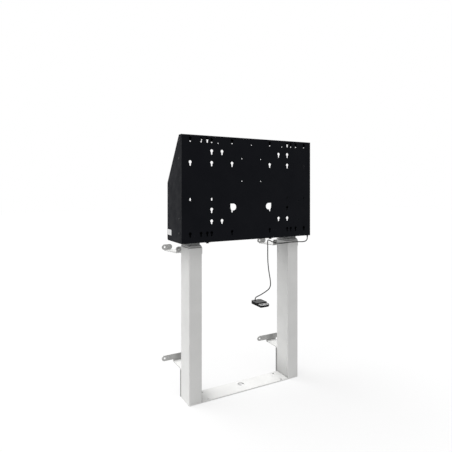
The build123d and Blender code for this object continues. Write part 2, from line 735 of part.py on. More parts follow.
# Cable clips under the pan, each a pad with a saddle
clip_length = 30.0
clip_width = 12.0
clip_pad_thickness = 1.5
clip_setback = 15.0
clip_saddle_width = 10.0
clip_saddle_height = 5.5
clip_place_shares = (-0.63, 0.33)  # of the head's half width
clip_y = front_y + clip_setback

with BuildPart() as cable_clips:
    for share in clip_place_shares:
        clip_x = share * head_width / 2
        with BuildSketch(Plane((clip_x, clip_y, head_bottom))):
            SlotOverall(clip_length, clip_width)
        extrude(amount=-clip_pad_thickness)
        with BuildSketch(Plane((clip_x, clip_y, head_bottom - clip_pad_thickness))):
            RectangleRounded(clip_saddle_width, clip_width - clip_pad_thickness, clip_pad_thickness)
        extrude(amount=clip_pad_thickness - clip_saddle_height)
save(cable_clips, "cable_clips")

# Handset: a flat shell with a raised rear block, and a sloping keypad with two keys in front
handset_x = 97.0  # its centre
handset_setback = 28.5
handset_bottom = 370.5
handset_width = 56.0
handset_depth = 90.0
handset_rear_corner = 12.0
handset_left_corner = 5.0
handset_right_corner = 20.0
handset_rim = 8.0  # height of the shell at its front edge
handset_block_height = 5.5
handset_cover_thickness = 1.0
handset_edge = 0.8
keypad_depth = 33.0  # of the shell's slope
keypad_rise = 2.0
keypad_inset = 3.0
keypad_band = 5.0  # of the slope, left between the keypad and the block
keypad_thickness = 3.6
keypad_proud = 0.3
key_length = 14.0
key_width = 9.0
key_spacing = 24.0
key_pocket_depth = 2.6
key_travel = 0.8
key_proud = 1.3
key_floor_gap = 0.2  # left under a pressed key
handset_gland_diameter = 6.5
handset_gland_height = 2.0
handset_gland_inset = 15.0  # from the handset's left edge
handset_gland_setback = 17.2  # from its rear edge
handset_front_y = front_y + handset_setback
handset_y = handset_front_y + handset_depth / 2
block_front_y = handset_front_y + keypad_depth
handset_rim_top = handset_bottom + handset_rim
handset_block_top = handset_rim_top + handset_block_height
handset_top = handset_block_top + handset_cover_thickness
keypad_angle = atan2(keypad_rise, keypad_depth)
keypad_plane = Plane(
    origin=(handset_x, handset_front_y + keypad_depth / 2, handset_rim_top + keypad_rise / 2),
    x_dir=(1, 0, 0),
    z_dir=(0, -sin(keypad_angle), cos(keypad_angle)),
)
slope_shift = (handset_depth - keypad_depth) / 2
key_y = (keypad_inset - keypad_band) / 2

with BuildSketch() as handset_outline:
    Rectangle(handset_width, handset_depth)
    fillet(handset_outline.vertices().group_by(Axis.Y)[-1], handset_rear_corner)
    fillet(handset_outline.vertices().group_by(Axis.Y)[0].sort_by(Axis.X)[0], handset_left_corner)
    fillet(handset_outline.vertices().group_by(Axis.Y)[0].sort_by(Axis.X)[-1], handset_right_corner)

with BuildSketch() as keypad_outline:
    with Locations((0, slope_shift)):
        add(handset_outline.sketch)
    offset(amount=-keypad_inset, mode=Mode.REPLACE)
    with Locations((0, (keypad_depth + handset_depth) / 2 - keypad_band)):
        Rectangle(handset_width, handset_depth, mode=Mode.SUBTRACT)

with BuildPart() as handset_shell:
    with BuildSketch(Plane((handset_x, handset_y, handset_bottom))):
        add(handset_outline.sketch)
    extrude(amount=handset_rim + handset_block_height)
    with BuildSketch(side_view.offset(handset_x - handset_width / 2)):
        with BuildLine():
            Polyline(
                (handset_front_y, handset_rim_top),
                (block_front_y, handset_rim_top + keypad_rise),
                (block_front_y, handset_block_top),
                (handset_front_y, handset_block_top),
                close=True,
            )
        make_face()
    extrude(amount=handset_width, mode=Mode.SUBTRACT)
    with BuildSketch(keypad_plane):
        add(keypad_outline.sketch)
    extrude(amount=-keypad_thickness, mode=Mode.SUBTRACT)
    fillet(handset_shell.edges().group_by(Axis.Z)[0], handset_edge)
save(handset_shell, "handset_shell")

with BuildPart() as handset_cover:
    with BuildSketch(Plane((handset_x, handset_y, handset_block_top))):
        add(handset_outline.sketch)
        with Locations((0, -slope_shift)):
            Rectangle(handset_width, keypad_depth, mode=Mode.SUBTRACT)
    extrude(amount=handset_cover_thickness)
    fillet(handset_cover.edges().group_by(Axis.Z)[-1], handset_edge)
save(handset_cover, "handset_cover")

with BuildPart() as keypad:
    with BuildSketch(keypad_plane.offset(-keypad_thickness)):
        add(keypad_outline.sketch)
        offset(amount=-seat_gap, mode=Mode.REPLACE)
    extrude(amount=keypad_thickness + keypad_proud)
    with BuildSketch(keypad_plane.offset(keypad_proud)):
        with Locations((0, key_y)):
            with GridLocations(key_spacing, 0, 2, 1):
                SlotOverall(key_length, key_width)
    extrude(amount=-(keypad_proud + key_pocket_depth), mode=Mode.SUBTRACT)
save(keypad, "keypad")

key_bottom = key_travel + key_floor_gap - key_pocket_depth
for key_name, sign in {"up": -1, "down": 1}.items():
    with BuildPart() as key:
        with BuildSketch(keypad_plane.offset(key_bottom)):
            with Locations((sign * key_spacing / 2, key_y)):
                SlotOverall(key_length - 2 * running_gap, key_width - 2 * running_gap)
        extrude(amount=key_proud - key_bottom)
    save(key, f"{key_name}_key")

gland_x = handset_x - handset_width / 2 + handset_gland_inset
gland_y = handset_y + handset_depth / 2 - handset_gland_setback
gland_top = handset_top + handset_gland_height

with BuildPart() as handset_gland:
    with BuildSketch(Plane((gland_x, gland_y, handset_top))):
        Circle(handset_gland_diameter / 2)
    extrude(amount=handset_gland_height)
save(handset_gland, "handset_gland")

# Handset cable: from the grommet along under the head, back round, and down to the handset
cable_points = [
    (grommet_x, grommet_y, grommet_bottom),
    (328.0, -103.5, 677.0),
    (318.5, -102.0, 668.5),
    (302.0, -100.0, 666.0),
    (272.0, -97.0, 668.2),
    (228.0, -95.0, 668.6),
    (184.0, -93.0, 665.8),
    (158.0, -89.0, 667.0),
    (144.0, -79.0, 671.0),
    (139.0, -62.0, 675.5),
    (141.0, -42.0, 678.5),
    (146.5, -26.0, 675.0),
    (149.5, -21.5, 660.0),
    (150.2, -21.0, 638.0),
    (149.6, -21.5, 604.0),
    (150.4, -22.0, 562.0),
    (157.0, -21.6, 517.0),
    (165.5, -21.2, 477.0),
    (167.7, -20.5, 453.7),
    (161.6, -19.0, 436.3),
    (145.7, -17.0, 425.3),
    (120.2, -14.5, 413.0),
    (106.0, -12.9, 407.4),
    (90.4, -11.0, 402.3),
    (86.2, -10.4, 398.2),
    (gland_x, gland_y, 392.8),
    (gland_x, gland_y, gland_top),
]
cable_arc_share = 0.45  # of the shorter run at each corner, up to the arc's start
cable_vectors = [Vector(*point) for point in cable_points]
cable_runs = [end - start for start, end in zip(cable_vectors, cable_vectors[1:])]
cable_turns = [before.get_angle(after) for before, after in zip(cable_runs, cable_runs[1:])]
cable_radii = [
    cable_arc_share * min(before.length, after.length) / tan(radians(turn) / 2)
    for before, after, turn in zip(cable_runs, cable_runs[1:], cable_turns)
]
with BuildPart() as handset_cable:
    with BuildLine() as cable_path:
        FilletPolyline(*cable_vectors, radius=cable_radii)
    with BuildSketch(Plane(origin=cable_vectors[0], z_dir=cable_runs[0])):
        Circle(cable_diameter / 2)
    sweep(path=cable_path.wires()[0])
save(handset_cable, "handset_cable")

cable_length = cable_path.wires()[0].length
print("cable runs", [round(run.length, 1) for run in cable_runs])
print("cable turns", [round(turn, 1) for turn in cable_turns])
print("cable radii", [round(radius, 1) for radius in cable_radii])
print("cable length", round(cable_length, 1))
print("cable volume", round(handset_cable.part.volume, 1), pi * cable_diameter**2 / 4 * cable_length)
print("key slope in degrees", round(degrees(keypad_angle), 2))
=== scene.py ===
import json
from math import cos, pi, radians, sin

import bpy
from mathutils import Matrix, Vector


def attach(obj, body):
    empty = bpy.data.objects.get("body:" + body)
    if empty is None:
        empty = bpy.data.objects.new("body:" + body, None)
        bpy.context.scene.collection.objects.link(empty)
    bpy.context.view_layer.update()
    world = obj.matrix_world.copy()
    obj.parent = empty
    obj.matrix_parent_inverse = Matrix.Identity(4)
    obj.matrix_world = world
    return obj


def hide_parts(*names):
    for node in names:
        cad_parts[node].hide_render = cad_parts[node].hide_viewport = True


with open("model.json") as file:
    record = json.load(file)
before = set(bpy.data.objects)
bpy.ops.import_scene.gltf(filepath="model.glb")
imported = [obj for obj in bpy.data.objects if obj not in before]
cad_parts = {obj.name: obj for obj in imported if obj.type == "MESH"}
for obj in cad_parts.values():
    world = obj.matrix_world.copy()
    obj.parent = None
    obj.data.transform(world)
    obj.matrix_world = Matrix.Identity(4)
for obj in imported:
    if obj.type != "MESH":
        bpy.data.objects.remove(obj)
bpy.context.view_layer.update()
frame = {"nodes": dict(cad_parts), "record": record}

print("frame loaded,", len(frame["nodes"]), "nodes")

mm = 0.001


# Places on the CAD nodes, in millimetres
def spotsOf(name):
    # a node's vertices, rounded so that those of neighbouring faces agree
    node = frame["nodes"][name]
    places = [node.matrix_world @ vertex.co for vertex in node.data.vertices]
    return [tuple(round(value / mm, 3) for value in place) for place in places]


def boxOf(spots):
    # the lowest and highest x, y and z
    return [(min(values), max(values)) for values in zip(*spots)]


def nodeBox(name):
    return boxOf(spotsOf(name))


def solidBoxes(name):
    # the box of each separate solid in a node
    spots = spotsOf(name)
    near = {}
    for face in frame["nodes"][name].data.polygons:
        corners = {spots[index] for index in face.vertices}
        for spot in corners:
            near.setdefault(spot, set()).update(corners)
    boxes = []
    while near:
        found = []
        waiting = [next(iter(near))]
        while waiting:
            spot = waiting.pop()
            if spot in near:
                found.append(spot)
                waiting.extend(near.pop(spot))
        boxes.append(boxOf(found))
    return sorted(boxes)


def middleOf(box):
    return Vector([(low + high) / 2 for low, high in box])


def faceCentre(box, way):
    # the middle of the side of a box that looks that way
    return middleOf(box) + Vector([(high - low) / 2 * part for (low, high), part in zip(box, way)])


toFront, toWall, toTop = (0, -1, 0), (0, 1, 0), (0, 0, 1)

# Heights and places that the finishes' shading hangs on, in metres
columnAxis = middleOf(nodeBox("right_outer_column")).x * mm
plateTop = nodeBox("base_plate")[2][1] * mm
strapFoot = nodeBox("right_column_strap")[2][0] * mm
glideTop = nodeBox("right_top_glide")[2][1] * mm

# Camera, level, in front and to the left
cameraSetup = {
    "place": (-0.9774, -1.6704, 0.927),
    "turn": -28.53,  # degrees about Z
    "lens": 32.42,
    "sensor": 36,
    "shiftX": -0.00044,
    "shiftY": -0.0832,
    "nearest": 0.01,
    "farthest": 100,
}


def placeCamera():
    data = bpy.data.cameras.new("camera")
    data.sensor_width = cameraSetup["sensor"]
    data.lens = cameraSetup["lens"]
    data.shift_x = cameraSetup["shiftX"]
    data.shift_y = cameraSetup["shiftY"]
    data.clip_start = cameraSetup["nearest"]
    data.clip_end = cameraSetup["farthest"]
    camera = bpy.data.objects.new("camera", data)
    camera.location = cameraSetup["place"]
    camera.rotation_euler = (radians(90), 0, radians(cameraSetup["turn"]))
    bpy.context.scene.collection.objects.link(camera)
    bpy.context.scene.camera = camera
    bpy.context.scene.view_settings.view_transform = "Standard"


placeCamera()
print("camera placed")


class Wire:
    # one output socket; sums on wires add Math nodes
    def __init__(self, tree, socket=None):
        self.tree = tree
        self.socket = socket

    def add(self, kind, settings=None, values=None, out=0):
        # a new node's output, by number or name
        node = self.tree.nodes.new(kind)
        for name, value in (settings or {}).items():
            setattr(node, name, value)
        for name, value in (values or {}).items():
            if isinstance(value, Wire):
                self.tree.links.new(value.socket, node.inputs[name])
            else:
                node.inputs[name].default_value = value
        return Wire(self.tree, node.outputs[out])

    def sums(self, operation, *terms):
        return self.add("ShaderNodeMath", {"operation": operation}, dict(enumerate(terms)))

    def __add__(self, other):
        return self.sums("ADD", self, other)

    def __radd__(self, other):
        return self.sums("ADD", other, self)

    def __sub__(self, other):
        return self.sums("SUBTRACT", self, other)

    def __rsub__(self, other):
        return self.sums("SUBTRACT", other, self)

    def __mul__(self, other):
        return self.sums("MULTIPLY", self, other)

    def __rmul__(self, other):
        return self.sums("MULTIPLY", other, self)

    def __neg__(self):
        return self.sums("MULTIPLY", self, -1)

    def __abs__(self):
        return self.sums("ABSOLUTE", self)

    def sign(self):
        return self.sums("SIGN", self)

    def highest(self, other):
        return self.sums("MAXIMUM", self, other)

    def mapped(self, low, high, toLow=0.0, toHigh=1.0):
        # smooth step from low to high
        values = {"Value": self, "From Min": low, "From Max": high, "To Min": toLow, "To Max": toHigh}
        return self.add("ShaderNodeMapRange", {"interpolation_type": "SMOOTHSTEP"}, values)

    def blended(self, first, second):
        # colours, by this wire as the factor
        return self.add("ShaderNodeMix", {"data_type": "RGBA"}, {0: self, 6: first, 7: second}, 2)

    def scaled(self, colour):
        # a colour times this wire
        return self.add("ShaderNodeVectorMath", {"operation": "SCALE"}, {"Vector": colour, "Scale": self})


def grey(level):
    return (level, level, level, 1)


# An edge shows where a softened normal leans away from the true one, by this span
edgeLooks = {"samples": 4, "span": (0.02, 0.2)}


class Finish:
    # a material on one Principled shader, with its place on the object as a wire
    def __init__(self, name, constants):
        self.material = bpy.data.materials.new(name)
        self.material.use_nodes = True
        self.tree = self.material.node_tree
        self.shader = self.tree.nodes["Principled BSDF"]
        for socket, value in constants.items():
            self.shader.inputs[socket].default_value = value
        self.start = Wire(self.tree)
        self.place = self.start.add("ShaderNodeTexCoord", out="Object")

    def noise(self, size, detail, roughness=0.5, stretch=None, offset=0.0):
        # blotches about one size across, in metres, pulled out by stretch
        place = self.place
        if stretch or offset:
            values = {"Vector": place, "Scale": stretch or (1, 1, 1), "Location": (offset, offset, offset)}
            place = self.start.add("ShaderNodeMapping", None, values)
        values = {"Vector": place, "Scale": 1 / size, "Detail": detail, "Roughness": roughness}
        return self.start.add("ShaderNodeTexNoise", None, values)

    def crystals(self, size):
        # one colour at random for each crystal
        values = {"Vector": self.place, "Scale": 1 / size}
        return self.start.add("ShaderNodeTexVoronoi", None, values, "Color")

    def parts(self, name):
        # x, y and z of the surface's Position or Normal
        vector = self.start.add("ShaderNodeNewGeometry", out=name)
        node = self.start.add("ShaderNodeSeparateXYZ", None, {"Vector": vector}).socket.node
        return [Wire(self.tree, part) for part in node.outputs]

    def softNormal(self, radius):
        return self.start.add("ShaderNodeBevel", {"samples": edgeLooks["samples"]}, {"Radius": radius})

    def edges(self, radius):
        # 1 along edges, 0 away from them
        normals = {0: self.softNormal(radius), 1: self.start.add("ShaderNodeNewGeometry", out="Normal")}
        match = self.start.add("ShaderNodeVectorMath", {"operation": "DOT_PRODUCT"}, normals, "Value")
        return (1 - match).mapped(*edgeLooks["span"])

    def use(self, socket, wire):
        self.tree.links.new(wire.socket, self.shader.inputs[socket])

    def relief(self, height, looks):
        # bumps of the looks' depth in metres, over edges softened by their edge radius
        values = {"Height": height, "Distance": looks["depth"], "Strength": looks["strength"]}
        values["Normal"] = self.softNormal(looks["edge"])
        self.use("Normal", self.start.add("ShaderNodeBump", None, values))


usual = (0.3, 0.7)  # where most of a noise texture's values lie
average = 0.5
facing = (0.5, 0.9)  # a normal's part from turned aside to facing


def fromAxis(place):
    # how far to the side of the nearer column's axis
    return abs(abs(place[0]) - columnAxis)


# Painted shade and light on the white paint: shares of its level, over spans in metres
columnPaintedShade = {
    "inwards": (0.4, 0.9),
    "cornerHeights": (0, 0.125),  # painted shade above the base plate's top, up the columns' inner faces
    "corner": 0.4,
    "contactHeights": (0.001, 0.013),
    "contact": 0.14,
    "plateHeights": (0.001, 0.015),
    "plateReach": (0.028, 0.11),  # painted shade from the columns' axes along the base plate
    "plate": 0.16,
    "rightSpan": (0.02, 0.11),  # a little more painted shade on the plate's right half
    "right": 0.045,
    "lipHeights": (-0.0002, 0.0002),  # the plate's front edge, painted lighter
    "lip": 0.08,
    "fadeHeights": (0.015, 0.345),  # painted shade growing up what stands upright
    "fadeSlant": (0.1, 0.5),
    "fade": 0.08,
    "earReach": (0.0333, 0.0338),  # painted shade from the columns' axes, past the straps' bands
    "earHeights": (-0.001, 0),  # from the straps' lower edges
    "ears": 0.45,
    "frontSpan": (-0.1, 0.1),
    "front": (0.06, 0.09),  # painted light: how much lighter the left and the right fronts are
}


# painted shade in the corners by the columns, along their foot, up their sides and on the straps' ears,
# and painted light on the fronts and the plate's front edge
def columnShade(finish):
    looks = columnPaintedShade
    normal = finish.parts("Normal")
    place = finish.parts("Position")
    axisReach, height = fromAxis(place), place[2] - plateTop
    inwards = (-(normal[0] * place[0].sign())).mapped(*looks["inwards"])
    corner = height.mapped(*looks["cornerHeights"], looks["corner"], 0)
    contact = height.mapped(*looks["contactHeights"], looks["contact"], 0)
    plate = axisReach.mapped(*looks["plateReach"], looks["plate"], 0)
    plate = plate + place[0].mapped(*looks["rightSpan"], 0, looks["right"])
    plate = plate * normal[2].mapped(*facing) * height.mapped(*looks["plateHeights"], 1, 0)
    fade = abs(normal[2]).mapped(*looks["fadeSlant"], 1, 0) * height.mapped(*looks["fadeHeights"])
    ears = axisReach.mapped(*looks["earReach"]) * (place[2] - strapFoot).mapped(*looks["earHeights"])
    front = (-normal[1]).mapped(*facing)
    lip = front * height.mapped(*looks["lipHeights"], looks["lip"], 0)
    light = front * place[0].mapped(*looks["frontSpan"], *looks["front"]) + lip
    return 1 + light - inwards * (corner + contact) - plate - ears * looks["ears"] - fade * looks["fade"]


# Satin paint: what the coats share, then each coat
paintSurface = {
    "gloss": 0.4,
    "clouds": {"size": 0.09, "detail": 4},
    "cloudShades": (0.975, 1.02),
    "specks": {"size": 0.004, "detail": 2, "offset": 3.0},
    "speckSpan": (0.62, 0.8),
    "speckShades": (1.0, 0.97),
    "smudges": {"size": 0.035, "detail": 5, "roughness": 0.6, "offset": 7.0},
    "peel": {"detail": 2, "roughness": 0.4},
    "depth": 0.00004,
    "strength": 0.5,
    "edge": 0.0009,
}
paintLooks = {
    "columnWhite": {"colour": (0.8, 0.8, 0.788), "rough": (0.35, 0.45), "grain": 0.0011, "shadePainted": True},
    "innerSteel": {"colour": (0.2134, 0.22, 0.22), "rough": (0.36, 0.48), "grain": 0.0012},
    "motorBlack": {"colour": (0.012, 0.012, 0.01272), "rough": (0.3, 0.46), "grain": 0.0014},
}


def satinPaint(name, coat):
    looks = paintSurface
    finish = Finish(name, {"Specular IOR Level": looks["gloss"]})
    clouds = finish.noise(**looks["clouds"]).mapped(*usual, *looks["cloudShades"])
    shade = clouds * finish.noise(**looks["specks"]).mapped(*looks["speckSpan"], *looks["speckShades"])
    # painted shade and light on the white columns and base plate
    if coat.get("shadePainted"):
        shade = shade * columnShade(finish)
    finish.use("Base Color", shade.scaled(coat["colour"]))
    finish.use("Roughness", finish.noise(**looks["smudges"]).mapped(*usual, *coat["rough"]))
    finish.relief(finish.noise(coat["grain"], **looks["peel"]), looks)
    return finish.material


# Powder coat of the head: a fine sandy surface, a little rubbed on its folds
blackLooks = {
    "gloss": 0.045,
    "colours": ((0.0050, 0.0056, 0.0078, 1), (0.0066, 0.0072, 0.0096, 1)),
    "clouds": {"size": 0.12, "detail": 4},
    "rubbedColour": (0.022, 0.023, 0.027, 1),
    "rubbedShare": 0.5,
    "rubbedEdge": 0.0012,
    "rubbing": {"size": 0.02, "detail": 4},
    "rubbingSpan": (0.35, 0.75),
    "rough": (0.5, 0.62),
    "smudges": {"size": 0.03, "detail": 5, "offset": 5.0},
    "sand": {"size": 0.0009, "detail": 3, "roughness": 0.7},
    "sandRough": 0.05,
    "depth": 0.00007,
    "strength": 0.7,
    "edge": 0.0009,
}


def texturedBlack():
    looks = blackLooks
    finish = Finish("headBlack", {"Specular IOR Level": looks["gloss"]})
    sand = finish.noise(**looks["sand"])
    plain = finish.noise(**looks["clouds"]).mapped(*usual).blended(*looks["colours"])
    rubbing = finish.noise(**looks["rubbing"]).mapped(*looks["rubbingSpan"])
    rubbed = finish.edges(looks["rubbedEdge"]) * rubbing * looks["rubbedShare"]
    finish.use("Base Color", rubbed.blended(plain, looks["rubbedColour"]))
    rough = finish.noise(**looks["smudges"]).mapped(*usual, *looks["rough"])
    finish.use("Roughness", rough - sand * looks["sandRough"])
    finish.relief(sand, looks)
    return finish.material


# Painted shade on the wall brackets, and painted light on what faces up: shares of their level, over spans
# in metres
bracketPaintedShade = {
    "wallSpan": (0.09, 0.1),  # the flanges against the wall lie beyond this
    "nearReach": 0.035,  # from the columns' axes
    "near": 0.18,
    "farReach": 0.14,
    "far": 0.36,
    "uprightTop": (0.117, 0.123),  # painted shade on the lower brackets' uprights, which end here
    "upright": 0.6,
    "shelf": 0.12,  # painted light: how much lighter what faces up is
}


# painted shade on the wall flanges behind the columns and on the lower uprights, and painted light on the
# shelves
def bracketShade(finish):
    looks = bracketPaintedShade
    place = finish.parts("Position")
    normal = finish.parts("Normal")
    axisReach = fromAxis(place)
    near = axisReach.mapped(0, looks["nearReach"], looks["near"], 0)
    far = axisReach.mapped(0, looks["farReach"], looks["far"], 0)
    flange = (-normal[1]).mapped(*facing) * place[1].mapped(*looks["wallSpan"])
    upright = place[2].mapped(*looks["uprightTop"], looks["upright"], 0)
    shelf = normal[2].mapped(*facing, 0, looks["shelf"])
    return 1 + shelf - ((near + far) * flange).highest(upright)


# Dull zinc plate: faint crystals, rolled streaks and bright rubbed edges
sheetLooks = {
    "gloss": 0.2,
    "colours": ((0.66, 0.66, 0.65, 1), (0.74, 0.74, 0.73, 1)),
    "colourSpan": (0.15, 0.85),
    "rubbedColour": (0.78, 0.78, 0.77, 1),
    "rubbedShare": 0.6,
    "rubbedEdge": 0.001,
    "crystalSize": 0.007,
    "crystalShare": 0.35,
    "streaks": {"size": 0.002, "detail": 3, "roughness": 0.6, "stretch": (1, 0.06, 1)},
    "rough": (0.36, 0.5),
    "depth": 0.00003,
    "strength": 0.4,
    "edge": 0.0008,
}


def zincSheet():
    looks = sheetLooks
    finish = Finish("bracketGrey", {"Specular IOR Level": looks["gloss"]})
    crystals = finish.crystals(looks["crystalSize"])
    tone = finish.start.add("ShaderNodeSeparateColor", None, {"Color": crystals}, "Red")
    streaks = finish.noise(**looks["streaks"])
    mixed = tone * looks["crystalShare"] + streaks * (1 - looks["crystalShare"])
    plain = mixed.mapped(*looks["colourSpan"]).blended(*looks["colours"])
    rubbed = finish.edges(looks["rubbedEdge"]) * looks["rubbedShare"]
    # the brackets' colour carries their painted shade and light
    finish.use("Base Color", bracketShade(finish).scaled(rubbed.blended(plain, looks["rubbedColour"])))
    finish.use("Roughness", tone.mapped(0, 1, *looks["rough"]))
    finish.relief(streaks, looks)
    return finish.material


# Bright zinc of screws, bolts and other small steel
brightLooks = {
    "metal": 1.0,
    "colours": ((0.50, 0.50, 0.49, 1), (0.66, 0.66, 0.65, 1)),
    "clouds": {"size": 0.012, "detail": 4},
    "rough": (0.4, 0.24),
    "turning": {"size": 0.0006, "detail": 2},
    "depth": 0.00002,
    "strength": 0.5,
    "edge": 0.0004,
}


def brightZinc():
    looks = brightLooks
    finish = Finish("brightSteel", {"Metallic": looks["metal"]})
    clouds = finish.noise(**looks["clouds"])
    finish.use("Base Color", clouds.mapped(*usual).blended(*looks["colours"]))
    finish.use("Roughness", clouds.mapped(*usual, *looks["rough"]))
    finish.relief(finish.noise(**looks["turning"]), looks)
    return finish.material


# The top glides: painted shade on their slope and rim, with a painted highlight on the edge between them
glidePaintedShade = {
    "slopeHeight": 0.007,
    "edgeSpan": (-0.0012, -0.0004),  # heights from the foot of the slope, in metres
    "slopeSpan": (0.0012, 0.0025),
    "cleanSpan": (0.012, 0.013),  # other white plastic stands above this
    "rim": 0.52,
    "edge": 1.15,
    "slope": 0.45,
}


# painted shade and highlight on the top glides, by height
def glideShade(finish):
    looks = glidePaintedShade
    height = finish.parts("Position")[2] - (glideTop - looks["slopeHeight"])
    face = height.mapped(*looks["edgeSpan"], looks["rim"], looks["edge"])
    slope = height.mapped(*looks["slopeSpan"]) * height.mapped(*looks["cleanSpan"], looks["slope"], 0)
    return face * (1 - slope)


# Moulded plastics and rubber: what they share, then each from its low to its high grey
mouldSurface = {
    "clouds": {"size": 0.02, "detail": 4},
    "cloudRough": 0.2,
    "spark": {"detail": 3, "roughness": 0.7},
    "sparkRough": 0.12,
    "wornEdge": 0.0006,
    "wornShare": 0.25,
    "wornTimes": 1.8,  # against the high grey
    "wornPlus": 0.02,
    "wornMost": 0.8,
    "depth": 0.00003,
    "strength": 0.6,
    "edge": 0.0005,
}
mouldLooks = {
    "glidePlastic": {"low": 0.060, "high": 0.075, "rough": 0.5, "grain": 0.0007, "gloss": 0.4},
    "whitePlastic": {
        "low": 0.60,
        "high": 0.66,
        "rough": 0.42,
        "grain": 0.0007,
        "gloss": 0.3,
        "glideShadePainted": True,
    },
    "controlPlastic": {"low": 0.011, "high": 0.015, "rough": 0.55, "grain": 0.0006, "gloss": 0.35},
    "cableRubber": {"low": 0.004, "high": 0.006, "rough": 0.5, "grain": 0.0016, "gloss": 0.12},
    "handsetBlack": {"low": 0.003, "high": 0.0045, "rough": 0.5, "grain": 0.0005, "gloss": 0.08},
    "handsetTop": {"low": 0.085, "high": 0.10, "rough": 0.5, "grain": 0.0005, "gloss": 0.12},
    "keypadGrey": {"low": 0.40, "high": 0.44, "rough": 0.36, "grain": 0.0008, "gloss": 0.4},
    "keyGrey": {"low": 0.15, "high": 0.18, "rough": 0.4, "grain": 0.0006, "gloss": 0.4},
}


def mouldedPlastic(name, mould):
    looks = mouldSurface
    finish = Finish(name, {"Specular IOR Level": mould["gloss"]})
    clouds = finish.noise(**looks["clouds"])
    plain = clouds.mapped(*usual).blended(grey(mould["low"]), grey(mould["high"]))
    worn = grey(min(mould["high"] * looks["wornTimes"] + looks["wornPlus"], looks["wornMost"]))
    colour = (finish.edges(looks["wornEdge"]) * looks["wornShare"]).blended(plain, worn)
    # painted shade and highlight on the top glides
    if mould.get("glideShadePainted"):
        colour = glideShade(finish).scaled(colour)
    finish.use("Base Color", colour)
    spark = finish.noise(mould["grain"], **looks["spark"])
    rough = mould["rough"] + (clouds - average) * looks["cloudRough"]
    finish.use("Roughness", rough + (spark - average) * looks["sparkRough"])
    finish.relief(spark, looks)
    return finish.material


# Turned bronze of the spindle nuts: tool rings and brown tarnish
bronzeLooks = {
    "metal": 1.0,
    "colours": ((0.50, 0.33, 0.15, 1), (0.36, 0.22, 0.10, 1)),
    "tarnish": {"size": 0.009, "detail": 5, "roughness": 0.6},
    "tarnishSpan": (0.35, 0.7),
    "rings": {"size": 0.0012, "detail": 3, "stretch": (0.1, 0.1, 1)},
    "rough": (0.28, 0.42),
    "depth": 0.00003,
    "strength": 0.5,
    "edge": 0.0004,
}


def turnedBronze():
    looks = bronzeLooks
    finish = Finish("bronze", {"Metallic": looks["metal"]})
    rings = finish.noise(**looks["rings"])
    tarnish = finish.noise(**looks["tarnish"]).mapped(*looks["tarnishSpan"])
    finish.use("Base Color", tarnish.blended(*looks["colours"]))
    finish.use("Roughness", rings.mapped(*usual, *looks["rough"]))
    finish.relief(rings, looks)
    return finish.material


# Cast alloy of the gearboxes: a pebbled skin with stains and bright edges
castLooks = {
    "metal": 0.8,
    "colours": ((0.33, 0.34, 0.345, 1), (0.43, 0.44, 0.445, 1)),
    "stains": {"size": 0.03, "detail": 5, "roughness": 0.6, "offset": 2.0},
    "rubbedColour": (0.6, 0.6, 0.6, 1),
    "rubbedShare": 0.5,
    "rubbedEdge": 0.0012,
    "skin": {"size": 0.0016, "detail": 5, "roughness": 0.7},
    "rough": (0.42, 0.6),
    "depth": 0.00012,
    "strength": 0.8,
    "edge": 0.0012,
}


def castAlloy():
    looks = castLooks
    finish = Finish("gearboxGrey", {"Metallic": looks["metal"]})
    skin = finish.noise(**looks["skin"])
    plain = finish.noise(**looks["stains"]).mapped(*usual).blended(*looks["colours"])
    rubbed = finish.edges(looks["rubbedEdge"]) * looks["rubbedShare"]
    finish.use("Base Color", rubbed.blended(plain, looks["rubbedColour"]))
    finish.use("Roughness", skin.mapped(*usual, *looks["rough"]))
    finish.relief(skin, looks)
    return finish.material


def slotName(name):
    # columnWhite to column_white
    return "".join("_" + letter.lower() if letter.isupper() else letter for letter in name)


# One finish for each material slot
finishes = {"head_black": texturedBlack(), "bracket_grey": zincSheet(), "bright_steel": brightZinc()}
finishes["bronze"] = turnedBronze()
finishes["gearbox_grey"] = castAlloy()
for paintName, coat in paintLooks.items():
    finishes[slotName(paintName)] = satinPaint(paintName, coat)
for mouldName, mould in mouldLooks.items():
    finishes[slotName(mouldName)] = mouldedPlastic(mouldName, mould)
print("finishes made,", len(finishes))

for subpart in frame["record"]["subparts"]:
    node, slot = frame["nodes"][subpart["node"]], subpart["material_slot"]
    node.data.materials.clear()
    node.data.materials.append(finishes[slot])
print("nodes dressed")

# Pieces of mesh, in millimetres
meshSetup = {
    "sharpAngle": 32,  # degrees
    "screwSides": 36,
    "roundSides": 48,
    "cornerSteps": 6,
}


def addPiece(name, points, faces, body, slot):
    mesh = bpy.data.meshes.new(name)
    mesh.from_pydata([Vector(point) * mm for point in points], [], faces)
    mesh.shade_smooth()
    mesh.set_sharp_from_angle(angle=radians(meshSetup["sharpAngle"]))
    piece = bpy.data.objects.new(name, mesh)
    bpy.context.scene.collection.objects.link(piece)
    mesh.materials.append(finishes[slot])
    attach(piece, body)
    return piece


def ringPoint(radius, angle, sides):
    # round, or on a polygon with that many sides
    if sides:
        step = 2 * pi / sides
        radius *= cos(step / 2) / cos(angle % step - step / 2)
    return Vector((radius * cos(angle), radius * sin(angle), 0))


def turnedSet(name, rings, places, body, slot, segments=meshSetup["screwSides"]):
    # one closed solid at each place, from rings of (radius, height) or (radius, height, sides)
    points, faces = [], []
    for place, way in places:
        turn = Vector(way).to_track_quat("Z", "Y").to_matrix()
        first = len(points)
        for radius, height, *sides in rings:
            for step in range(segments):
                spot = ringPoint(radius, 2 * pi * step / segments, sides[0] if sides else 0)
                points.append(turn @ (spot + Vector((0, 0, height))) + Vector(place))
        for ring in range(len(rings) - 1):
            row = first + ring * segments
            for step in range(segments):
                here, beside = row + step, row + (step + 1) % segments
                faces.append((here, beside, beside + segments, here + segments))
        faces.append(tuple(range(first + segments - 1, first - 1, -1)))
        faces.append(tuple(range(len(points) - segments, len(points))))
    return addPiece(name, points, faces, body, slot)


